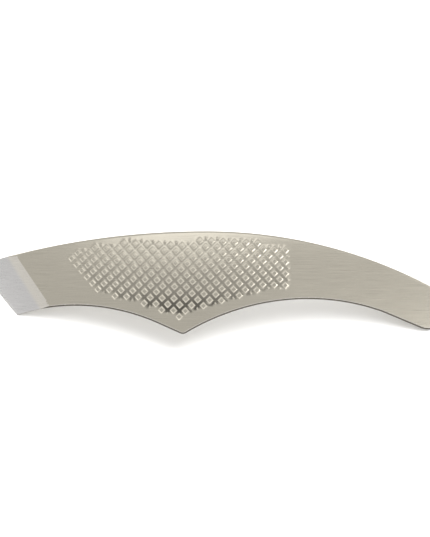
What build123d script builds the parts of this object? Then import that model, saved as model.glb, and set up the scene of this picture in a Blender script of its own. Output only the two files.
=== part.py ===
"""One-piece garlic crusher: a curved plate of stainless steel with a pressed field of studs on its
outer side, a ground scraper at one end and a smooth grip at the other.

The plate is drawn in its crown frame. The crown is the point where the dome is level, X runs along
the plate towards the grip, Y across it towards the long back edge, and Z out of the studded side.
The last block lays the plate down as it rests by itself, on its grip end and on the scraper.
"""

import os
from math import cos, degrees, radians, sin, sqrt

from build123d import *

# --- driving dimensions, millimetres and degrees ---
THICKNESS = 2.4  # sheet
BLADE_RADIUS = 195.0  # curve along the scraper and the studded part
GRIP_RADIUS = 1400.0  # the grip is nearly straight
ACROSS_RADIUS = 150.0  # curve across the plate
BLADE_ARC = 64.0  # arc length from the crown to the grip's gentler curve
SCRAPER_REACH = 125.0  # arc length of the formed strip beyond the crown, towards the scraper
GRIP_REACH = 110.0  # arc length of the formed strip beyond BLADE_ARC
STRIP_HALF = 45.0  # half the width of the formed strip, before it is trimmed

CREST = (18.0, 35.3)  # highest point of the back edge, where its two arcs meet
SCRAPER_TIP = (-102.5, 17.9)
SCRAPER_HEEL = (-80.8, -8.1)
HEEL_ARC_TOP = (-48.6, -3.1)
HEEL_ARC_END = (-6.1, -12.5)
POINT = (5.7, -17.8)  # the V on the lower edge, before it is rounded
WAIST = (69.0, 0.2)
WAIST_END = (110.0, -6.8)
GRIP_LOW = (141.0, -19.6)
GRIP_HIGH = (150.0, -1.0)
POINT_ROUND = 3.0
GRIP_LOW_ROUND = 12.0
GRIP_HIGH_ROUND = 9.0
EDGE_ROUND = 1.0  # rounding along the rim
TRIM_HEIGHT = 100.0  # more than the dome's rise

GRIND_HIGH = (-81.8, 24.0)  # the scraper's grind starts on the line through these two points
GRIND_LOW = (-62.8, -4.4)
GRIND_ANGLE = 5.5
GRIND_DEEP = 8.0  # thickness of the body that stands for the ground-off metal
GRIND_WIDE = 30.0
GRIND_BACK = 4.0
GRIND_PAST = 12.0

STUD_PITCH = 4.29  # between neighbouring studs, along either side of a stud
STUD_TURN = 42.5  # angle of the rows of studs to the plate's length
STUD_SHIFT = (1.0, 0.75)  # arc lengths from the crown to the stud that the rows are counted from
STUD_FOOT = 3.0
STUD_TOP = 1.9
STUD_HEIGHT = 0.45
STUD_ROOT = 0.3  # depth to which a stud's body reaches into the sheet
DOT_FOOT = 1.2
DOT_TOP = 0.5
DOT_HEIGHT = 0.25
DOT_SHIFT = 1.5  # a dot stands this much nearer to the field than a stud would
ROWS = 16  # rows of studs that are tried each way

# Border of the studded field, in arc lengths from the crown along and across.
FIELD = [
    (-39.6, 4.6),
    (-33.5, 3.6),
    (-31.0, 0.9),
    (-17.5, -0.1),
    (-14.8, -2.8),
    (-8.8, -3.8),
    (-6.3, -6.2),
    (1.3, -6.8),
    (3.8, -10.3),
    (9.0, -6.2),
    (14.4, -4.4),
    (53.0, 6.5),
    (60.4, 6.0),
    (61.2, 26.8),
    (50.0, 27.4),
    (46.0, 30.2),
    (13.0, 31.0),
    (9.0, 30.0),
    (-26.6, 29.9),
    (-33.0, 28.6),
    (-41.7, 27.7),
    (-44.4, 25.6),
    (-51.0, 25.4),
    (-54.4, 20.8),
]

LEAN = 30.46  # turn about X that lays the plate down towards its lower edge
DIP = 5.76  # turn about Y that lowers the scraper and lifts the grip


def along(arc):
    """Middle line's x, z and slope angle in radians, at an arc length from the crown."""
    angle = min(arc, BLADE_ARC) / BLADE_RADIUS
    x = BLADE_RADIUS * sin(angle)
    z = BLADE_RADIUS * (cos(angle) - 1)
    if arc > BLADE_ARC:
        turned = angle + (arc - BLADE_ARC) / GRIP_RADIUS
        x += GRIP_RADIUS * (sin(turned) - sin(angle))
        z += GRIP_RADIUS * (cos(turned) - cos(angle))
        angle = turned
    return x, z, angle


def seat(arc, side):
    """Plane on the outer surface at two arc lengths, along and across, turned as the studs are."""
    x, z, angle = along(arc)
    tilt = side / ACROSS_RADIUS
    drop = ACROSS_RADIUS * (cos(tilt) - 1)
    place = Vector(x + drop * sin(angle), ACROSS_RADIUS * sin(tilt), z + drop * cos(angle))
    forward = Vector(cos(angle), 0, -sin(angle))
    up = Vector(sin(angle) * cos(tilt), sin(tilt), cos(angle) * cos(tilt))
    return Plane(origin=place, x_dir=forward, z_dir=up).rotated((0, 0, STUD_TURN))


def inside(point):
    """True when a point lies within FIELD, by counting the sides to its right."""
    x, y = point
    crossings = 0
    for (xa, ya), (xb, yb) in zip(FIELD, FIELD[1:] + FIELD[:1]):
        if (ya > y) != (yb > y) and x < xa + (y - ya) * (xb - xa) / (yb - ya):
            crossings += 1
    return crossings % 2 == 1


def stand(row, column):
    """Arc lengths from the crown to one place in the rows of studs."""
    c, s = cos(radians(STUD_TURN)), sin(radians(STUD_TURN))
    arc = STUD_SHIFT[0] + STUD_PITCH * (row * c - column * s)
    side = STUD_SHIFT[1] + STUD_PITCH * (row * s + column * c)
    return arc, side


def field_places():
    """Places of the studs, and of the dots that fill the notches along the field's border."""
    studs, dots = [], []
    for row in range(-ROWS, ROWS + 1):
        for column in range(-ROWS, ROWS + 1):
            here = stand(row, column)
            if inside(here):
                studs.append(here)
                continue
            around = [(row + 1, column), (row - 1, column), (row, column + 1), (row, column - 1)]
            near = [stand(*place) for place in around if inside(stand(*place))]
            if len(near) > 1:
                pull = Vector(*map(sum, zip(*near))) / len(near) - Vector(*here)
                moved = Vector(*here) + pull.normalized() * DOT_SHIFT
                dots.append((moved.X, moved.Y))
    return studs, dots


def crossing(arc):
    """Plane across the plate at an arc length from the crown, its own X towards the back edge."""
    x, z, angle = along(arc)
    return Plane(origin=(x, 0, z), x_dir=(0, 1, 0), z_dir=(cos(angle), 0, -sin(angle)))


def strip_section(plane, upper, lower):
    """Arc-shaped cross-section between two levels above or below the outer surface."""
    reach = STRIP_HALF / ACROSS_RADIUS
    with BuildSketch(plane) as band:
        with BuildLine():
            ends = []
            for level in (upper, lower):
                radius = ACROSS_RADIUS + level
                x, y = radius * sin(reach), radius * cos(reach) - ACROSS_RADIUS
                ThreePointArc((-x, y), (0, level), (x, y))
                ends.append((x, y))
            (xa, ya), (xb, yb) = ends
            Line((xa, ya), (xb, yb))
            Line((-xa, ya), (-xb, yb))
        make_face()
    return band.sketch


def formed_strip(upper, lower):
    """Curved strip between two levels: the blade's arc, and beyond it the grip's gentler one."""
    blade_turn = degrees((SCRAPER_REACH + BLADE_ARC) / BLADE_RADIUS)
    grip_turn = degrees(GRIP_REACH / GRIP_RADIUS)
    blade_axis = Axis((0, 0, -BLADE_RADIUS), (0, 1, 0))
    x, z, angle = along(BLADE_ARC)
    grip_centre = (x - GRIP_RADIUS * sin(angle), 0, z - GRIP_RADIUS * cos(angle))
    grip_axis = Axis(grip_centre, (0, 1, 0))
    with BuildPart() as strip:
        blade_section = strip_section(crossing(-SCRAPER_REACH), upper, lower)
        revolve(blade_section, axis=blade_axis, revolution_arc=blade_turn)
        grip_section = strip_section(crossing(BLADE_ARC), upper, lower)
        revolve(grip_section, axis=grip_axis, revolution_arc=grip_turn)
    return strip.part


def outer_height(x, y):
    """Height of the blade's outer surface over a point of the crown plane."""
    section_height = sqrt(ACROSS_RADIUS**2 - y**2) - ACROSS_RADIUS
    return sqrt((BLADE_RADIUS + section_height) ** 2 - x**2) - BLADE_RADIUS


def frustum(foot, top, height):
    """Square stud with sloping sides, whose slope goes on down to STUD_ROOT below its foot."""
    spread = (foot - top) / height
    with BuildPart() as body:
        with BuildSketch(Plane.XY.offset(-STUD_ROOT)):
            Rectangle(foot + spread * STUD_ROOT, foot + spread * STUD_ROOT)
        with BuildSketch(Plane.XY.offset(height)):
            Rectangle(top, top)
        loft()
    return body.part


def is_rim(edge):
    """True for the edges along the plate's rim, other than those of the scraper's end."""
    if edge.geom_type != GeomType.BSPLINE:
        return False
    middle = edge @ 0.5
    along_end = Vector(*SCRAPER_HEEL) - Vector(*SCRAPER_TIP)
    off_end = Vector(middle.X, middle.Y) - Vector(*SCRAPER_TIP)
    return abs(along_end.cross(off_end).Z) / along_end.length > 0.5


def grind_border():
    """Corners, seen along the crown's normal, of the stretch that the grind may reach."""
    low, high = Vector(*GRIND_LOW), Vector(*GRIND_HIGH)
    up = (high - low).normalized()
    out = Vector(-up.Y, up.X)
    start, end = low - up * GRIND_PAST, high + up * GRIND_PAST
    inner = [start - out * GRIND_BACK, end - out * GRIND_BACK]
    outer = [end + out * GRIND_WIDE, start + out * GRIND_WIDE]
    return [(p.X, p.Y) for p in inner + outer]


# --- outline of the plate, seen along the crown's normal ---
with BuildSketch() as outline:
    with BuildLine():
        TangentArc(CREST, SCRAPER_TIP, tangent=(-1, 0))
        Line(SCRAPER_TIP, SCRAPER_HEEL)
        ThreePointArc(SCRAPER_HEEL, HEEL_ARC_TOP, HEEL_ARC_END)
        Line(HEEL_ARC_END, POINT)
        ThreePointArc(POINT, WAIST, WAIST_END)
        Line(WAIST_END, GRIP_LOW)
        Line(GRIP_LOW, GRIP_HIGH)
        TangentArc(CREST, GRIP_HIGH, tangent=(1, 0))
    make_face()
    fillet(outline.vertices().group_by(Axis.X)[-1], GRIP_HIGH_ROUND)
    fillet(outline.vertices().sort_by_distance(GRIP_LOW)[0], GRIP_LOW_ROUND)
    fillet(outline.vertices().sort_by_distance(POINT)[0], POINT_ROUND)

# --- the plate: the formed strip trimmed to the outline ---
with BuildPart() as blank:
    add(formed_strip(0, -THICKNESS))
    with BuildSketch():
        add(outline.sketch)
    extrude(amount=TRIM_HEIGHT, both=True, mode=Mode.INTERSECT)
    fillet(blank.edges().filter_by(is_rim), EDGE_ROUND)

# --- the metal that grinding takes off the scraper ---
with BuildPart() as ground_off:
    add(formed_strip(GRIND_DEEP, 0))
    with BuildSketch():
        with BuildLine():
            Polyline(grind_border(), close=True)
        make_face()
    extrude(amount=TRIM_HEIGHT, both=True, mode=Mode.INTERSECT)
low, high = (Vector(x, y, outer_height(x, y)) for x, y in (GRIND_LOW, GRIND_HIGH))
hinge = Axis(low, high - low)

# --- studs on the outer side ---
stud_places, dot_places = field_places()
with BuildPart() as studs:
    with Locations(*[seat(*place).location for place in stud_places]):
        add(frustum(STUD_FOOT, STUD_TOP, STUD_HEIGHT))
    with Locations(*[seat(*place).location for place in dot_places]):
        add(frustum(DOT_FOOT, DOT_TOP, DOT_HEIGHT))

# --- the finished plate, laid down as it rests ---
with BuildPart() as shaped:
    add(blank.part)
    add(ground_off.part.rotate(hinge, -GRIND_ANGLE), mode=Mode.SUBTRACT)
    add(studs.part)

with BuildPart() as crusher_plate:
    laid = shaped.part.rotate(Axis.X, LEAN).rotate(Axis.Y, -DIP)
    box = laid.bounding_box()
    with Locations((-box.center().X, -box.center().Y, -box.min.Z)):
        add(laid)
crusher_plate.part.label = "crusher_plate"
os.makedirs("parts", exist_ok=True)
export_step(crusher_plate.part, "parts/crusher_plate.step")
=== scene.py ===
# %% [markdown]
# # A one-piece garlic crusher
# The tool is one plate of stainless steel, pressed to a shallow dome, with a field of square studs
# on its outer side, a ground scraper at one end and a smooth grip at the other. It could be
# sculpted, or a flat mesh could be bent with modifiers, but every shape on it has a short formula,
# so this lesson computes the points with numpy and hands them to Blender as one closed mesh.
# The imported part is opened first. It is the fixed frame that the finished look has to sit in.

import bpy
import numpy as np
from mathutils import Matrix, Vector
from mathutils.geometry import delaunay_2d_cdt


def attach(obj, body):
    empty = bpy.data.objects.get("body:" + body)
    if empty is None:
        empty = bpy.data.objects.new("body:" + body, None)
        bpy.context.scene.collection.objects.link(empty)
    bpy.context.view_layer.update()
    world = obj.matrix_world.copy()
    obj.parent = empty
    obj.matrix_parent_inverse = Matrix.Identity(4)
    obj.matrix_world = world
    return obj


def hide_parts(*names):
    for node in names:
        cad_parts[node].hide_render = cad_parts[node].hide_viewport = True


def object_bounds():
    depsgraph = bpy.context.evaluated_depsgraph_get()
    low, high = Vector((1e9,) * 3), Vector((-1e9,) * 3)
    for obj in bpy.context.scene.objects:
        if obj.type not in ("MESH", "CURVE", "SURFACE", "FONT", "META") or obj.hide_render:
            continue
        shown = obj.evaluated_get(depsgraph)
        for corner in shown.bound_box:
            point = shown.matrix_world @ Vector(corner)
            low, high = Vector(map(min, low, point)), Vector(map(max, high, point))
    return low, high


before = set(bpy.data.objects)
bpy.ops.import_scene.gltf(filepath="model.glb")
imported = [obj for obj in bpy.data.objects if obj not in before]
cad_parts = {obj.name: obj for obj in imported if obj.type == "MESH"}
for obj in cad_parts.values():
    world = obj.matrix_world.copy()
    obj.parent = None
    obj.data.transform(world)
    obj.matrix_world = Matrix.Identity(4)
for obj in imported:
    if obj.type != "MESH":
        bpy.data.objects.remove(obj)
cad_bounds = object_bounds()
print("packed part, metres:", cad_bounds)

# %% [markdown]
# ## The curved sheet
# The plate is drawn in its crown frame: the crown is the level point of the dome, x runs towards
# the grip, y towards the long back edge and z out of the studs, all in millimetres. Along x the
# sheet follows an arc of 195 mm radius and then a far gentler one in the grip, and across it an
# arc of 150 mm. A sheet like that could be a grid bent twice. Here its height is written straight
# over the flat x, y plane, because the outline is also drawn in that plane, and a level below the
# outer side gives the underside with the same formula.

# %% Height of the sheet over its flat drawing
THICKNESS = 2.4
BLADE_RADIUS, GRIP_RADIUS, ACROSS_RADIUS = 195.0, 1400.0, 150.0
BLADE_ARC = 64.0
BLADE_TURN = BLADE_ARC / BLADE_RADIUS
GRIP_CENTRE_X = (BLADE_RADIUS - GRIP_RADIUS) * np.sin(BLADE_TURN)
GRIP_CENTRE_Z = (BLADE_RADIUS - GRIP_RADIUS) * np.cos(BLADE_TURN) - BLADE_RADIUS


def sheet_height(x, y, depth):
    """Height over the point x, y of the sheet that lies depth below the outer side.

    Across, a circle of radius (150 - depth) gives the rise h at y. Along, that rise is added to the
    radius of the blade's circle, or of the grip's, and Pythagoras gives the height at x.
    """
    rise = np.sqrt((ACROSS_RADIUS - depth) ** 2 - y**2) - ACROSS_RADIUS
    blade = np.sqrt((BLADE_RADIUS + rise) ** 2 - np.minimum(x, 120.0) ** 2) - BLADE_RADIUS
    grip = np.sqrt((GRIP_RADIUS + rise) ** 2 - (x - GRIP_CENTRE_X) ** 2) + GRIP_CENTRE_Z
    return np.where(x > (BLADE_RADIUS + rise) * np.sin(BLADE_TURN), grip, blade)


def seat(arc, side):
    """Point, forward, sideways and outward directions at two arc lengths from the crown.

    The point turns by arc / 195 about the blade's centre and by side / 150 about the cross
    circle's centre, and the three directions turn with it.
    """
    turn, tilt = arc / BLADE_RADIUS, side / ACROSS_RADIUS
    zero = np.zeros_like(turn)
    drop = ACROSS_RADIUS * (np.cos(tilt) - 1)
    point = np.stack([(BLADE_RADIUS + drop) * np.sin(turn), ACROSS_RADIUS * np.sin(tilt),
                      (BLADE_RADIUS + drop) * np.cos(turn) - BLADE_RADIUS], -1)
    forward = np.stack([np.cos(turn), zero, -np.sin(turn)], -1)
    outward = np.stack([np.sin(turn) * np.cos(tilt), np.sin(tilt), np.cos(turn) * np.cos(tilt)], -1)
    return point, forward, np.cross(outward, forward), outward


print("height at the scraper's tip, mm:", round(float(sheet_height(-102.5, 17.9, 0.0)), 2))

# %% [markdown]
# ## The outline
# Seen along the crown's normal the plate is shaped like a short curved sword: a long arched back, a
# straight slanted scraper, a hollow lower edge that drops to a rounded point, and a waist that
# swells into the grip. A Bezier curve could be drawn by eye. Circular arcs are used because the
# real edge is cut by a die made of arcs, and each corner is then rounded by a circle that rolls
# into it.

# %% Arcs and rounded corners
CREST, SCRAPER_TIP, SCRAPER_HEEL = (18.0, 35.3), (-102.5, 17.9), (-80.8, -8.1)
HEEL_ARC_TOP, HEEL_ARC_END, POINT = (-48.6, -3.1), (-6.1, -12.5), (5.7, -17.8)
WAIST, WAIST_END, GRIP_LOW, GRIP_HIGH = (69.0, 0.2), (110.0, -6.8), (141.0, -19.6), (150.0, -1.0)


def straight(a, b):
    """Evenly spaced points from a to b, a quarter of a millimetre apart."""
    a, b = np.array(a), np.array(b)
    steps = max(2, int(np.linalg.norm(b - a) / 0.25))
    return a + (b - a) * np.linspace(0, 1, steps)[:, None]


def sweep(centre, a, b):
    """Points of the shorter arc about centre, from a to b, a quarter of a millimetre apart."""
    centre, a, b = np.array(centre), np.array(a), np.array(b)
    start = np.arctan2(*(a - centre)[::-1])
    turn = (np.arctan2(*(b - centre)[::-1]) - start + np.pi) % (2 * np.pi) - np.pi
    radius = np.linalg.norm(a - centre)
    angles = start + turn * np.linspace(0, 1, max(3, int(abs(turn) * radius / 0.25)))
    return centre + radius * np.stack([np.cos(angles), np.sin(angles)], -1)


def arc_through(a, b, c):
    """Arc through three points: its centre is as far from a as from b and from c."""
    a, b, c = np.array(a), np.array(b), np.array(c)
    centre = np.linalg.solve(2 * np.array([b - a, c - a]), [b @ b - a @ a, c @ c - a @ a])
    return np.vstack([sweep(centre, a, b)[:-1], sweep(centre, b, c)])


def level_arc(top, end):
    """Arc that leaves top level: its centre is straight below top, as far from end as from top."""
    away = np.array(end) - np.array(top)
    return sweep((top[0], top[1] - (away @ away) / (-2 * away[1])), top, end)


def inward(line):
    """Directions to the left of a line's points, which is into the plate on its outline."""
    run = np.gradient(line, axis=0)
    run /= np.linalg.norm(run, axis=1)[:, None]
    return np.stack([-run[:, 1], run[:, 0]], -1)


def rounded(before, after, radius):
    """Joins two lines with the circle that touches both: its centre is radius inside each of them."""
    a, b = before + radius * inward(before), after + radius * inward(after)
    gap = np.linalg.norm(a[:, None] - b[None], axis=2)
    i, j = np.unravel_index(gap.argmin(), gap.shape)
    arc = sweep((a[i] + b[j]) / 2, before[i], after[j])
    return np.vstack([before[:i], arc, after[j + 1:]])


lower = np.vstack([arc_through(SCRAPER_HEEL, HEEL_ARC_TOP, HEEL_ARC_END)[:-1],
                   straight(HEEL_ARC_END, POINT)])
waist = np.vstack([arc_through(POINT, WAIST, WAIST_END)[:-1], straight(WAIST_END, GRIP_LOW)])
long_side = rounded(lower, waist, 3.0)
long_side = rounded(long_side, straight(GRIP_LOW, GRIP_HIGH), 12.0)
long_side = rounded(long_side, level_arc(CREST, GRIP_HIGH)[::-1], 9.0)
long_side = np.vstack([long_side[:-1], level_arc(CREST, SCRAPER_TIP)])
print("points on the drawn edge:", len(long_side))

# %% [markdown]
# ## Even steps round the edge
# The rim needs points at even steps, or its highlight ripples. The drawn edge is walked by its own
# length and cut at every 0.8 mm. Two of the outline's points are then moved onto the line where the
# grind of the scraper begins, and they mark where the crease meets the rim.

# %% Walk the edge and mark the grind's line
GRIND_LOW, GRIND_HIGH = np.array([-62.8, -4.4]), np.array([-81.8, 24.0])
GRIND_SLOPE = np.tan(np.radians(5.5))
EDGE_STEP = 0.8
grind_run = (GRIND_HIGH - GRIND_LOW) / np.linalg.norm(GRIND_HIGH - GRIND_LOW)
grind_out = np.array([-grind_run[1], grind_run[0]])


def past_grind(flat):
    """Distance in the drawing beyond the line where the grind begins, negative before it."""
    return (flat - GRIND_LOW) @ grind_out


def even_steps(line, step):
    """Points of a line cut at equal lengths of its own run."""
    run = np.concatenate([[0], np.cumsum(np.linalg.norm(np.diff(line, axis=0), axis=1))])
    at = np.linspace(0, run[-1], int(run[-1] / step) + 1)
    return np.stack([np.interp(at, run, line[:, 0]), np.interp(at, run, line[:, 1])], -1)


side = even_steps(long_side, EDGE_STEP)
scraper_end = even_steps(straight(SCRAPER_TIP, SCRAPER_HEEL), EDGE_STEP)[1:-1]
loop = np.vstack([side, scraper_end])
into = np.vstack([inward(side), np.tile(inward(scraper_end)[:1], (len(scraper_end), 1))])
crossing = np.nonzero(np.diff(np.sign(past_grind(side))))[0]
crease_ends = []
for k in crossing:
    before, after = past_grind(side[k]), past_grind(side[k + 1])
    pick = k if abs(before) < abs(after) else k + 1
    loop[pick] = side[k] + (side[k + 1] - side[k]) * before / (before - after)
    crease_ends.append(int(pick))
print("points round the plate:", len(loop), "crease ends at", crease_ends)

# %% [markdown]
# ## The rim
# A pressed plate is tumbled until its edges are round, so the rim is a quarter circle from the
# outer side, a short wall, and a quarter circle onto the underside. A Bevel modifier would do it on
# a plain plate, but the radius has to fade out where the scraper's edge stays crisp. So the rim is a
# profile carried round the outline: each ring is the outline moved inwards by one column of the
# profile and lowered by another.

# %% Rings of the rim
RIM_ROUND, CRISP, LEAST_WALL = 1.0, 0.12, 0.06


def smooth(x, low, high):
    """S-shaped step from 0 below low to 1 above high: 3t^2 - 2t^3 of the share t of the way."""
    t = np.clip((x - low) / (high - low), 0, 1)
    return t * t * (3 - 2 * t)


def grind_depth(flat):
    """Metal that the grind takes off: distance beyond its line, along the sheet, times its slope."""
    ahead = np.maximum(past_grind(flat), 0)
    lean = 1 / np.cos(np.minimum(flat[..., 0], 0) / BLADE_RADIUS)
    return ahead * lean * GRIND_SLOPE


end_across = inward(scraper_end)[0]
off_end = np.abs((loop - np.array(SCRAPER_TIP)) @ end_across)
ground = grind_depth(loop)
fade = smooth(off_end, 0.0, 4.0)
round_top = CRISP + (RIM_ROUND - CRISP) * fade * (1 - smooth(ground, 0.0, 0.5))
round_low = np.minimum(CRISP + (RIM_ROUND - CRISP) * fade, THICKNESS - ground - round_top - LEAST_WALL)


def corner_step(index):
    """Inward step at one of the scraper's corners: the one that goes equally far in from both of
    the sides that meet there."""
    return np.linalg.solve(np.array([into[index], end_across]), [1.0, 1.0])


for scraper_corner in (0, len(side) - 1):
    into[scraper_corner] = corner_step(scraper_corner)
quarter = np.linspace(0, np.pi / 2, 7)
inset = np.vstack([round_top * (1 - np.sin(quarter))[:, None],
                   round_low * (1 - np.cos(quarter))[:, None]])
lowered = np.vstack([round_top * (1 - np.cos(quarter))[:, None],
                     THICKNESS - round_low * (1 - np.sin(quarter))[:, None]])
ring_flat = loop + into * inset[..., None]
top_half = (np.arange(len(inset)) < len(quarter))[:, None]
ring_depth = lowered + np.where(top_half, grind_depth(ring_flat), 0)
ring_height = sheet_height(ring_flat[..., 0], ring_flat[..., 1], ring_depth)
ring_points = np.concatenate([ring_flat, ring_height[..., None]], -1)
print("rim rings and points in each:", ring_points.shape[:2])

# %% [markdown]
# ## Where the studs stand
# The studs stand in a square lattice turned 42.5 degrees to the plate, and the field has a stepped
# border. An Array modifier can't follow a dome or stop at such a border, so the places are computed:
# every lattice point within a drawn border is a stud, and every notch of the border that touches
# two or more studs gets a tiny dot instead.

# %% Lattice, border and dots
PITCH, LATTICE_TURN, FIRST = 4.29, np.radians(42.5), np.array([1.0, 0.75])
FIELD = np.array([
    (-39.6, 4.6), (-33.5, 3.6), (-31.0, 0.9), (-17.5, -0.1), (-14.8, -2.8), (-8.8, -3.8),
    (-6.3, -6.2), (1.3, -6.8), (3.8, -10.3), (9.0, -6.2), (14.4, -4.4), (53.0, 6.5),
    (60.4, 6.0), (61.2, 26.8), (50.0, 27.4), (46.0, 30.2), (13.0, 31.0), (9.0, 30.0),
    (-26.6, 29.9), (-33.0, 28.6), (-41.7, 27.7), (-44.4, 25.6), (-51.0, 25.4), (-54.4, 20.8)])


def within_field(spot):
    """True where a ray to the right of a spot crosses the border an odd number of times."""
    a, b = FIELD, np.roll(FIELD, -1, axis=0)
    x, y = spot[..., None, 0], spot[..., None, 1]
    spans = (a[:, 1] > y) != (b[:, 1] > y)
    cut = a[:, 0] + (y - a[:, 1]) * (b[:, 0] - a[:, 0]) / (b[:, 1] - a[:, 1])
    return (spans & (x < cut)).sum(-1) % 2 == 1


row, column = np.meshgrid(np.arange(-17, 18), np.arange(-17, 18), indexing="ij")
turned = np.array([[np.cos(LATTICE_TURN), -np.sin(LATTICE_TURN)],
                   [np.sin(LATTICE_TURN), np.cos(LATTICE_TURN)]])
lattice = FIRST + PITCH * np.stack([row, column], -1) @ turned.T
has_stud = within_field(lattice)
stud_at = lattice[has_stud]
next_to = [np.roll(has_stud, shift, axis) for shift in (1, -1) for axis in (0, 1)]
next_place = [np.roll(lattice, shift, axis) for shift in (1, -1) for axis in (0, 1)]
count = sum(n.astype(int) for n in next_to)
pull = sum(n[..., None] * (p - lattice) for n, p in zip(next_to, next_place))
notch = ~has_stud & (count > 1)
length = np.linalg.norm(pull[notch], axis=1)[:, None]
dot_at = lattice[notch] + np.where(length > 0, pull[notch] / np.maximum(length, 1e-9), 0) * 1.5
print("studs:", len(stud_at), "dots:", len(dot_at))

# %% [markdown]
# ## One stud, repeated
# A coined stud is a low pyramid with its top cut off and every edge a little soft. It could be a
# bevelled cube, but it has to grow out of the sheet with no gap. So it is a stack of rounded
# squares, each with a width, a corner radius and a height, and the lowest one is shared with the
# sheet. All the studs are worked out at once: the stack times the directions of every seat.

# %% Stacks of rounded squares and circles
STUD_STACK = np.array([(1.54, 0.30, 0.0), (1.45, 0.28, 0.05), (1.02, 0.21, 0.38),
                       (0.94, 0.19, 0.43), (0.80, 0.17, 0.45)])
DOT_STACK = np.array([(0.62, 0.62, 0.0), (0.52, 0.52, 0.11), (0.36, 0.36, 0.20), (0.16, 0.16, 0.25)])


def stack_rings(stack, per_corner):
    """Rings of rounded squares, by half width, corner radius and height.

    Each corner is a quarter circle whose centre is half width less corner radius from both axes.
    """
    angle = np.linspace(0, np.pi / 2, per_corner)
    quadrant = np.repeat(np.arange(4) * np.pi / 2, per_corner)
    around = quadrant + np.tile(angle, 4)
    across = quadrant + np.pi / 4
    reach = (stack[:, 0] - stack[:, 1])[:, None] * np.sqrt(2)
    a = reach * np.cos(across) + stack[:, 1:2] * np.cos(around)
    b = reach * np.sin(across) + stack[:, 1:2] * np.sin(around)
    return np.stack([a, b, np.broadcast_to(stack[:, 2:3], a.shape)], -1)


def stand_up(rings, places):
    """Carries the rings to every place: seat point plus a along the lattice, b across it, c out."""
    point, forward, sideways, outward = (part[:, None, None] for part in seat(*places.T))
    c, s = np.cos(LATTICE_TURN), np.sin(LATTICE_TURN)
    along = forward * c + sideways * s
    across = sideways * c - forward * s
    solid = (point + rings[..., 0:1] * along + rings[..., 1:2] * across + rings[..., 2:3] * outward)
    foot = solid[:, 0]
    foot[..., 2] = sheet_height(foot[..., 0], foot[..., 1], grind_depth(foot[..., :2]))
    return solid


stud_points = stand_up(stack_rings(STUD_STACK, 4), stud_at)
octagon = stack_rings(DOT_STACK, 3)[:, [0, 1, 3, 4, 6, 7, 9, 10]]
dot_points = stand_up(octagon, dot_at)
print("stud rings:", stud_points.shape, "dot rings:", dot_points.shape)

# %% [markdown]
# ## The sheet between the studs
# What is left of the outer side is a plate full of square holes. A boolean would leave long thin
# slivers. A Delaunay triangulation is kinder: it takes the rim's first ring, the foot of every
# stud and a line near the grind's crease as lines to keep, and a scatter of loose points in rows, and
# it joins them with the least stretched triangles it can. Triangles within a stud's foot are dropped.
# The kept line runs between points of the first ring, which lies inside the outline, so at its two
# ends it misses the true crease by up to 0.44 mm.

# %% Triangulate the outer side
OUTER_GAP, UNDER_GAP, STUD_CLEAR, DOT_CLEAR = 1.25, 1.6, 2.45, 0.95


def rows_of_points(gap):
    """Points in staggered rows, an equilateral triangle apart, over the whole drawing."""
    y = np.arange(-22.0, 38.0, gap * np.sqrt(3) / 2)
    x = np.arange(-106.0, 152.0, gap)
    grid = np.stack(np.meshgrid(x, y), -1)
    grid[1::2, :, 0] += gap / 2
    return grid.reshape(-1, 2)


def depth_inside(spots, edge):
    """Distance inside a closed edge, negative outside: nearest edge point, along its inward way."""
    way = inward(np.vstack([edge[-1:], edge, edge[:1]]))[1:-1]
    inside = np.empty(len(spots))
    for part in np.array_split(np.arange(len(spots)), 40):
        gap = spots[part, None] - edge[None]
        near = np.linalg.norm(gap, axis=2).argmin(1)
        inside[part] = (gap[np.arange(len(part)), near] * way[near]).sum(1)
    return inside


def triangulate(edge, feet, crease, loose):
    """Points and triangles of a plate with an edge, holes for the feet and a kept line."""
    flat, keep, start = [edge], [], 0
    for ring in [edge] + feet:
        ids = start + np.arange(len(ring))
        keep.append(np.stack([ids, np.roll(ids, -1)], -1))
        start += len(ring)
    flat += feet
    owner = np.repeat(np.arange(len(feet) + 1), [len(edge)] + [len(f) for f in feet])
    if crease is not None:
        ends, middle = crease
        ids = np.concatenate([[ends[0]], start + np.arange(len(middle)), [ends[1]]])
        keep.append(np.stack([ids[:-1], ids[1:]], -1))
        flat.append(middle)
    flat.append(loose)
    flat = np.vstack(flat)
    made = delaunay_2d_cdt([Vector(p) for p in flat], np.vstack(keep).tolist(), [], 1, 1e-5)
    points, faces, came = np.array([tuple(p) for p in made[0]]), np.array(made[2]), made[3]
    old = np.array([ids[0] if ids else -1 for ids in came])
    new_of = np.full(len(flat), -1)
    for new, ids in enumerate(came):
        new_of[ids] = new
    whose = np.where((old >= 0) & (old < len(owner)), owner[np.clip(old, 0, len(owner) - 1)], 0)
    trio = whose[faces]
    hole = (trio[:, 0] > 0) & (trio[:, 0] == trio[:, 1]) & (trio[:, 1] == trio[:, 2])
    a, b, c = (points[faces[:, k]] for k in range(3))
    turn = (b[:, 0] - a[:, 0]) * (c[:, 1] - a[:, 1]) - (b[:, 1] - a[:, 1]) * (c[:, 0] - a[:, 0])
    faces[turn < 0] = faces[turn < 0][:, ::-1]
    return points, faces[~hole], new_of


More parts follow.
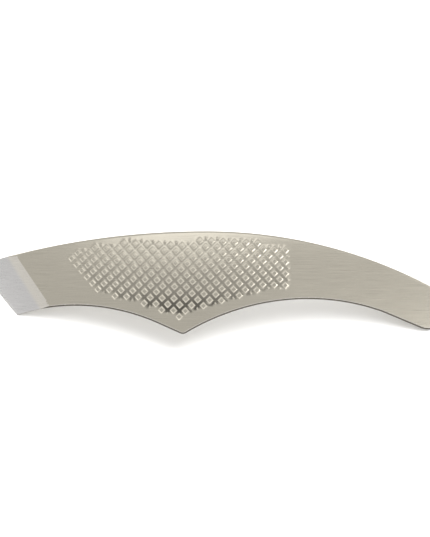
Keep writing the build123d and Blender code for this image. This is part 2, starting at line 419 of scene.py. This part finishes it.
outer_edge, under_edge = ring_flat[0], ring_flat[-1]
feet = [ring[:, :2] for ring in stud_points[:, 0]] + [ring[:, :2] for ring in dot_points[:, 0]]
crease_low, crease_high = (outer_edge[k] for k in crease_ends)
share = np.linspace(0, 1, 30)[1:-1, None]
crease_middle = crease_low + (crease_high - crease_low) * share
loose = rows_of_points(OUTER_GAP)
centres = np.vstack([stud_points[:, 0].mean(1)[:, :2], dot_points[:, 0].mean(1)[:, :2]])
clear = np.concatenate([np.full(len(stud_at), STUD_CLEAR), np.full(len(dot_at), DOT_CLEAR)])
to_stud = np.linalg.norm(loose[:, None] - centres[None], axis=2) - clear
free = (to_stud.min(1) > 0) & (depth_inside(loose, outer_edge) > 0.5)
free &= np.abs(past_grind(loose)) > 0.45
outer_flat, outer_faces, outer_new = triangulate(
    outer_edge, feet, (crease_ends, crease_middle), loose[free])
loose = rows_of_points(UNDER_GAP)
under_flat, under_faces, under_new = triangulate(
    under_edge, [], None, loose[depth_inside(loose, under_edge) > 0.6])
print("outer side:", len(outer_flat), "points", len(outer_faces), "triangles; underside:",
      len(under_flat), len(under_faces))

# %% [markdown]
# ## One closed plate
# The outer side, the stacks of the studs, the rim and the underside now share their border rings.
# They could be separate meshes merged by distance. Giving the shared points one number each from
# the start is surer, and every edge then has exactly two faces, which the last lines count.

# %% Number the points and list the faces
outer_height = sheet_height(outer_flat[:, 0], outer_flat[:, 1], grind_depth(outer_flat))
under_height = sheet_height(under_flat[:, 0], under_flat[:, 1], THICKNESS)
points = [np.column_stack([outer_flat, outer_height]), np.column_stack([under_flat, under_height])]
under_start = len(outer_flat)
total = under_start + len(under_flat)
quads, caps, tris = [], [], [outer_faces, under_start + under_faces[:, ::-1]]


def wall(ids):
    """Quads between rings of point numbers: each one and the next round, on this ring and the one
    further in."""
    here, beyond = ids[..., :-1, :], ids[..., 1:, :]
    around = [here, np.roll(here, -1, -1), np.roll(beyond, -1, -1), beyond]
    return np.stack(around, -1).reshape(-1, 4)


shared = len(outer_edge)
for solid in (stud_points, dot_points):
    many, rings, around = solid.shape[:3]
    foot_ids = outer_new[shared + np.arange(many * around)].reshape(many, 1, around)
    shared += many * around
    own = total + np.arange(many * (rings - 1) * around).reshape(many, rings - 1, around)
    total += own.size
    points.append(solid[:, 1:].reshape(-1, 3))
    quads.append(wall(np.concatenate([foot_ids, own], 1)))
    caps += own[:, -1].tolist()

rim_own = total + np.arange((len(ring_points) - 2) * len(loop)).reshape(-1, len(loop))
points.append(ring_points[1:-1].reshape(-1, 3))
rim_ids = np.vstack([outer_new[: len(loop)], rim_own, under_start + under_new[: len(loop)]])
rim_quads = wall(rim_ids)[:, ::-1]
points = np.vstack(points)
faces = np.vstack(tris).tolist() + np.vstack(quads).tolist() + caps + rim_quads.tolist()
sides = np.concatenate([np.sort(np.stack([f, np.roll(f, -1)], -1), axis=1) for f in map(np.array, faces)])
uses = np.unique(sides, axis=0, return_counts=True)[1]
print("points:", len(points), "faces:", len(faces),
      "edges with other than two faces:", int((uses != 2).sum()))

# %% [markdown]
# ## Laying the plate down
# The plate rests by itself on the end of its grip and the two corners of its scraper. Its crown
# frame is turned 30.46 degrees about x and 5.76 degrees back about y, and then moved so that its box
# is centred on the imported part's and starts at the same height. An object's rotation could hold that, but the place belongs in the mesh,
# so the points themselves are turned.

# %% Turn and place
LEAN, DIP = np.radians(30.46), np.radians(5.76)
about_x = np.array([[1, 0, 0], [0, np.cos(LEAN), -np.sin(LEAN)], [0, np.sin(LEAN), np.cos(LEAN)]])
about_y = np.array([[np.cos(DIP), 0, -np.sin(DIP)], [0, 1, 0], [np.sin(DIP), 0, np.cos(DIP)]])
lay = about_y @ about_x
laid = points @ lay.T / 1000
low, high = np.array(cad_bounds[0]), np.array(cad_bounds[1])
middle = (low + high) / 2 - (laid.min(0) + laid.max(0)) / 2
shift = np.array([middle[0], middle[1], low[2] - laid[:, 2].min()])
laid += shift
print("box of the laid plate, mm:", np.round((laid.max(0) - laid.min(0)) * 1000, 2),
      "packed:", np.round((high - low) * 1000, 2))

# %% [markdown]
# ## The mesh object
# The whole plate is shaded smooth, which rounds the dome and leaves the grind's crease a little soft.
# The brushing follows the sheet, so each point also stores where it is on the sheet: its arc length
# along, its place across, and its distance past the grind's line. A UV map could hold the first two,
# but one vector on the points holds all three.

# %% Build the crusher plate
mesh = bpy.data.meshes.new("crusher_plate_look")
mesh.from_pydata(laid.tolist(), [], faces)
mesh.polygons.foreach_set("use_smooth", np.ones(len(faces), bool))
turn = np.arctan2(points[:, 0], points[:, 2] + BLADE_RADIUS)
strip = np.stack([turn * BLADE_RADIUS, points[:, 1], past_grind(points[:, :2])], -1)
mesh.attributes.new("strip", "FLOAT_VECTOR", "POINT").data.foreach_set("vector", strip.ravel())
crusher = bpy.data.objects.new("crusher_plate_look", mesh)
bpy.context.scene.collection.objects.link(crusher)
print("strip runs, mm, from", np.round(strip.min(0), 1), "to", np.round(strip.max(0), 1))

# %% [markdown]
# ## Painted shade in the gaps and painted highlights on the studs
# Between real studs the steel mirrors the studs' own shaded sides, and the studs' sides catch lamps
# from all round. The few lamps here don't give enough of either, so a number stored on each point
# stands in for it by scaling the colour: painted shade in the gaps and painted highlights on the
# studs. It isn't how the metal really is. The gaps are darkest at the point and almost plain at the
# back, the studs' sides are painted brighter than the sheet, and their tops are painted slightly
# darker. Ambient occlusion could darken the gaps, but it wouldn't fade them from the point to the back.

# %% Painted shade of the gaps and painted highlights of the studs
FOOT_PAINTED_SHADE, SIDE_PAINTED_HIGHLIGHT, TOP_EDGE_PAINTED_HIGHLIGHT, TOP_PAINTED_SHADE = 0.95, 1.45, 1.35, 0.93


def gap_painted_shade(y):
    """Painted shade of a gap, as a colour scale: 0.26, plus 0.44 in an S-shaped step up to y = 8 and 0.28
    more up to 26.
    """
    return 0.26 + 0.44 * smooth(y, -5.0, 8.0) + 0.28 * smooth(y, 8.0, 26.0)


# Painted shade: the gaps' colour is scaled down, most at the point and least at the back.
gaps = gap_painted_shade(strip[:, 1])
on_outer_side = np.arange(len(points)) < under_start
painted_light = np.where(within_field(strip[:, :2]) & on_outer_side, gaps, 1.0)
stud_feet = outer_new[len(outer_edge): len(outer_edge) + stud_points[:, 0].size // 3]
foot_place = strip[stud_feet, :2].reshape(len(stud_at), -1, 2)
beyond_foot = foot_place + 0.9 * (foot_place - stud_at[:, None])
painted_light[stud_feet] = np.where(within_field(beyond_foot).ravel(), gaps[stud_feet], 1.0)
stud_rings = under_start + len(under_flat) + np.arange(stud_points[:, 1:].size // 3)
stud_rings = stud_rings.reshape(stud_points[:, 1:].shape[:3])
# Painted highlights on the studs' sides, painted shade on their tops and on the ring above the foot.
for ring, painted_level in enumerate((FOOT_PAINTED_SHADE, SIDE_PAINTED_HIGHLIGHT, TOP_EDGE_PAINTED_HIGHLIGHT, TOP_PAINTED_SHADE)):
    painted_light[stud_rings[:, ring].ravel()] = painted_level
mesh.attributes.new("painted_light", "FLOAT", "POINT").data.foreach_set("value", painted_light)
print("polish from", round(float(painted_light.min()), 2), "to", round(float(painted_light.max()), 2))

# %% [markdown]
# ## Which face has which finish or painted rim
# The plate has four materials: two finishes, brushed sheet and the ground scraper, and on the lower
# edge a dark rim of painted shade under a narrow pale line of painted highlight. Each face gets the
# number of its material. The scraper's faces are those whose middle lies past the grind's line. The
# rim's faces come last in the list, ring after ring, so a face's place in it tells its ring, and the
# lower edge is where the inward direction points up the drawing. Vertex groups or painting by hand
# could pick them, but a rule stays right if a size changes.

# %% Number the finishes and the painted rim
# DARK_RIM is the lower rim's painted shade and PALE_RIM its painted highlight.
BRUSHED, GROUND, DARK_RIM, PALE_RIM = range(4)
PALE_RINGS, DARK_RINGS = 1, 9
centre = np.array([points[list(f)].mean(0) for f in faces])
rim_from = len(faces) - len(rim_quads)
finish_or_painted_rim = np.where(past_grind(centre[:, :2]) > 0, GROUND, BRUSHED)
finish_or_painted_rim[len(outer_faces):len(outer_faces) + len(under_faces)] = BRUSHED
on_lower_edge = np.tile(into[:, 1] > 0.25, len(rim_ids) - 1)
ring_of = np.repeat(np.arange(len(rim_ids) - 1), len(loop))
lower_rim = np.where(ring_of < PALE_RINGS, PALE_RIM, np.where(ring_of < DARK_RINGS, DARK_RIM, BRUSHED))
finish_or_painted_rim[rim_from:] = np.where(on_lower_edge, lower_rim, BRUSHED)
mesh.polygons.foreach_set("material_index", finish_or_painted_rim.astype(np.int32))
mesh.update()
print("faces of each finish:", np.bincount(finish_or_painted_rim).tolist())

# %% [markdown]
# ## Brushed steel
# The plate is brushed along its length, so it gleams across the brushing and its highlights draw
# out into bands. A flat grey metal would look like plastic. The look comes from four things: a
# metallic surface, a stretched (anisotropic) gloss whose direction is the plate's length, fine long
# streaks that vary the gloss and the colour a little, and the same streaks as shallow scratches.
# The streaks are noise squeezed along the stored strip coordinates, and a number stored on each point
# scales the colour, painting shade into the stud gaps and highlights onto the studs.

# %% Helper for the steel finishes
plate_length = lay @ np.array([1.0, 0.0, 0.0])


def steel(name, color, rough, stretch, streaks, grain, scratch):
    """Metal with streaks: noise on the strip's own coordinates, long along it and narrow across.

    grain is how far the streaks move the colour either way, and scratch is how deep they look.
    """
    material = bpy.data.materials.new(name)
    material.use_nodes = True
    nodes, links = material.node_tree.nodes, material.node_tree.links
    surface = nodes["Principled BSDF"]
    surface.inputs["Metallic"].default_value = 1.0
    surface.inputs["Anisotropic"].default_value = stretch
    place = nodes.new("ShaderNodeAttribute")
    place.attribute_name = "strip"
    squeeze = nodes.new("ShaderNodeMapping")
    squeeze.inputs["Scale"].default_value = streaks
    links.new(place.outputs["Vector"], squeeze.inputs["Vector"])
    noise = nodes.new("ShaderNodeTexNoise")
    noise.inputs["Scale"].default_value = 1.0
    noise.inputs["Detail"].default_value = 4.0
    links.new(squeeze.outputs["Vector"], noise.inputs["Vector"])
    tint = nodes.new("ShaderNodeValToRGB")
    tint.color_ramp.elements[0].position, tint.color_ramp.elements[1].position = 0.3, 0.7
    tint.color_ramp.elements[0].color = (*[c * (1 - grain) for c in color], 1)
    tint.color_ramp.elements[1].color = (*[min(1, c * (1 + grain)) for c in color], 1)
    links.new(noise.outputs["Fac"], tint.inputs["Fac"])
    # Painted light: the stored per-point number scales the colour, painting shade into the stud gaps and
    # highlights onto the studs.
    painted_light_input = nodes.new("ShaderNodeAttribute")
    painted_light_input.attribute_name = "painted_light"
    painted_light_color = nodes.new("ShaderNodeVectorMath")
    painted_light_color.operation = "SCALE"
    links.new(tint.outputs["Color"], painted_light_color.inputs[0])
    links.new(painted_light_input.outputs["Fac"], painted_light_color.inputs["Scale"])
    links.new(painted_light_color.outputs["Vector"], surface.inputs["Base Color"])
    gloss = nodes.new("ShaderNodeMapRange")
    gloss.inputs["From Min"].default_value, gloss.inputs["From Max"].default_value = 0.3, 0.7
    gloss.inputs["To Min"].default_value, gloss.inputs["To Max"].default_value = rough
    links.new(noise.outputs["Fac"], gloss.inputs["Value"])
    links.new(gloss.outputs["Result"], surface.inputs["Roughness"])
    groove = nodes.new("ShaderNodeBump")
    groove.inputs["Strength"].default_value = scratch
    groove.inputs["Distance"].default_value = 0.00004
    links.new(noise.outputs["Fac"], groove.inputs["Height"])
    links.new(groove.outputs["Normal"], surface.inputs["Normal"])
    along = nodes.new("ShaderNodeCombineXYZ")
    for socket, value in zip(along.inputs, plate_length):
        socket.default_value = float(value)
    links.new(along.outputs["Vector"], surface.inputs["Tangent"])
    return material


# %% [markdown]
# ## Two finishes and a painted rim
# The brushed sheet is a warm grey with fine streaks and the ground scraper is paler and cooler. The
# lower rim is painted dark and mostly not metallic, a painted shade under a pale painted highlight.
# Real steel would be as bright there as elsewhere: the dark band stands in for the shade that such
# an edge mirrors from below, and the pale line for the light its rounding mirrors. One metal for the
# whole plate would be simpler, but the edge would then vanish against the white table.

# %% The plate's finishes and painted rim
brushed = steel("brushed_plate", (0.44, 0.413, 0.352), (0.24, 0.36), 0.55, (0.05, 8.0, 0.0), 0.10, 0.40)
ground_face = steel("ground_scraper", (0.60, 0.595, 0.585), (0.25, 0.33), 0.5, (0.08, 4.0, 0.0), 0.05, 0.3)
# Painted shade: the lower rim's dark, mostly non-metallic colour stands in for the shade it mirrors.
painted_shade_rim = steel("painted_shade_rim", (0.07, 0.062, 0.05), (0.50, 0.60), 0.0, (0.4, 0.4, 0.0), 0.04, 0.1)
painted_shade_rim.node_tree.nodes["Principled BSDF"].inputs["Metallic"].default_value = 0.2
painted_shade_rim.node_tree.nodes["Principled BSDF"].inputs["Specular IOR Level"].default_value = 0.1
# Painted highlight: the pale line along the lower edge stands in for the light its rounding mirrors.
lit_rim = steel("painted_highlight_rim", (0.66, 0.64, 0.60), (0.22, 0.30), 0.0, (0.4, 0.4, 0.0), 0.04, 0.1)
for finish_or_painted_material in (brushed, ground_face, painted_shade_rim, lit_rim):
    mesh.materials.append(finish_or_painted_material)
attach(crusher, "root")
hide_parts("crusher_plate")
print("materials on the plate:", [m.name for m in mesh.materials])

# %% [markdown]
# ## The warm strip on the scraper
# Beside the crease the scraper has a warm strip, plain for 3.8 mm and faded out by 5.8 mm, and beyond
# it the face is a cooler grey. The stored distance past the grind's line, in tenths so that the ramp's 0 to 1 spans 10 mm,
# picks the tint. A second material would make a hard step where this one fades.

# %% Tint the scraper by its distance from the crease
WARM_UNTIL, COOL_FROM, RAMP_SPAN = 3.8, 5.8, 10.0
nodes, links = ground_face.node_tree.nodes, ground_face.node_tree.links
parts_of_strip = nodes.new("ShaderNodeSeparateXYZ")
links.new(nodes["Attribute"].outputs["Vector"], parts_of_strip.inputs["Vector"])
tenth = nodes.new("ShaderNodeMath")
tenth.operation, tenth.inputs[1].default_value = "MULTIPLY", 1 / RAMP_SPAN
links.new(parts_of_strip.outputs["Z"], tenth.inputs[0])
tint_of_land = nodes.new("ShaderNodeValToRGB")
warm_end, cool_end = tint_of_land.color_ramp.elements
warm_end.position, warm_end.color = WARM_UNTIL / RAMP_SPAN, (1.0, 0.965, 0.90, 1)
cool_end.position, cool_end.color = COOL_FROM / RAMP_SPAN, (0.89, 0.885, 0.895, 1)
links.new(tenth.outputs["Value"], tint_of_land.inputs["Fac"])
tinted = nodes.new("ShaderNodeVectorMath")
tinted.operation = "MULTIPLY"
links.new(nodes["Vector Math"].outputs["Vector"], tinted.inputs[0])
links.new(tint_of_land.outputs["Color"], tinted.inputs[1])
links.new(tinted.outputs["Vector"], nodes["Principled BSDF"].inputs["Base Color"])
print("scraper tint turns cool between", WARM_UNTIL, "and", COOL_FROM, "mm past the crease")

# %% [markdown]
# ## A white table and soft light
# The plate lies on a white surface in an evenly pale room. Steel shows its surroundings more than
# itself, so a wide soft box overhead makes the bright band along the back, and a low one on the right
# lights the studs' right sides. A third lamp whitens the table and draws the shadow, and mirrors
# don't see it. A sky texture could light all this at once, but its parts couldn't be set apart.

# %% Table, room and lamps
bpy.ops.mesh.primitive_plane_add(size=6.0, location=(0, 0, 0))
table = bpy.context.object
table.name = "table"
paint = bpy.data.materials.new("white_table")
paint.use_nodes = True
paint_inputs = paint.node_tree.nodes["Principled BSDF"].inputs
paint_inputs["Base Color"].default_value = (0.9, 0.9, 0.9, 1)
paint_inputs["Roughness"].default_value = 0.9
paint_inputs["Specular IOR Level"].default_value = 0.0
table.data.materials.append(paint)

room = bpy.data.worlds.new("pale_room")
bpy.context.scene.world = room
room.use_nodes = True
room_inputs = room.node_tree.nodes["Background"].inputs
room_inputs["Color"].default_value = (1.0, 0.995, 0.985, 1)
room_inputs["Strength"].default_value = 0.92


def soft_box(name, place, aim, size, watts):
    """Rectangular lamp at a place, turned so that it shines at a point."""
    light = bpy.data.lights.new(name, "AREA")
    light.shape, light.size, light.size_y, light.energy = "RECTANGLE", size[0], size[1], watts
    lamp = bpy.data.objects.new(name, light)
    bpy.context.scene.collection.objects.link(lamp)
    way = Vector(place) - Vector(aim)
    lamp.matrix_world = Matrix.Translation(place) @ way.to_track_quat("Z", "Y").to_matrix().to_4x4()
    return lamp


soft_box("overhead_box", (-0.03, 0.10, 1.25), (0, 0, 0), (1.35, 0.50), 2.7)
soft_box("right_box", (1.50, 0.00, 0.28), (0, 0, 0.05), (1.8, 0.5), 13.0)
key = soft_box("table_key", (0.12, 0.10, 1.20), (0, 0, 0), (0.8, 0.8), 18.0)
key.visible_glossy = False
bpy.context.scene.view_settings.view_transform = "Standard"

# %% [markdown]
# ## The camera
# The camera looks straight down the crown's own normal from just over a metre, so its turned frame
# is the crown frame that the plate was drawn in. The lens is a long one, which keeps the plate's
# two ends at nearly the same scale.

# %% Camera
camera_data = bpy.data.cameras.new("camera")
camera_data.sensor_fit = "HORIZONTAL"
camera_data.sensor_width, camera_data.lens = 36.0, 167.4
camera = bpy.data.objects.new("camera", camera_data)
bpy.context.scene.collection.objects.link(camera)
seen_from = lay @ np.array([21.93, 16.07, 1020.0]) / 1000 + shift
camera.matrix_world = Matrix.Translation(seen_from) @ Matrix(lay.tolist()).to_4x4()
bpy.context.scene.camera = camera
print("camera at", np.round(seen_from, 3))

# %% [markdown]
# ## The last line
# The look may stand only a little past the imported part's box, here by up to 0.3 mm. Both boxes' sizes
# are printed side by side where the plate is laid, and the last line only updates the scene.

# %% Update the scene
bpy.context.view_layer.update()
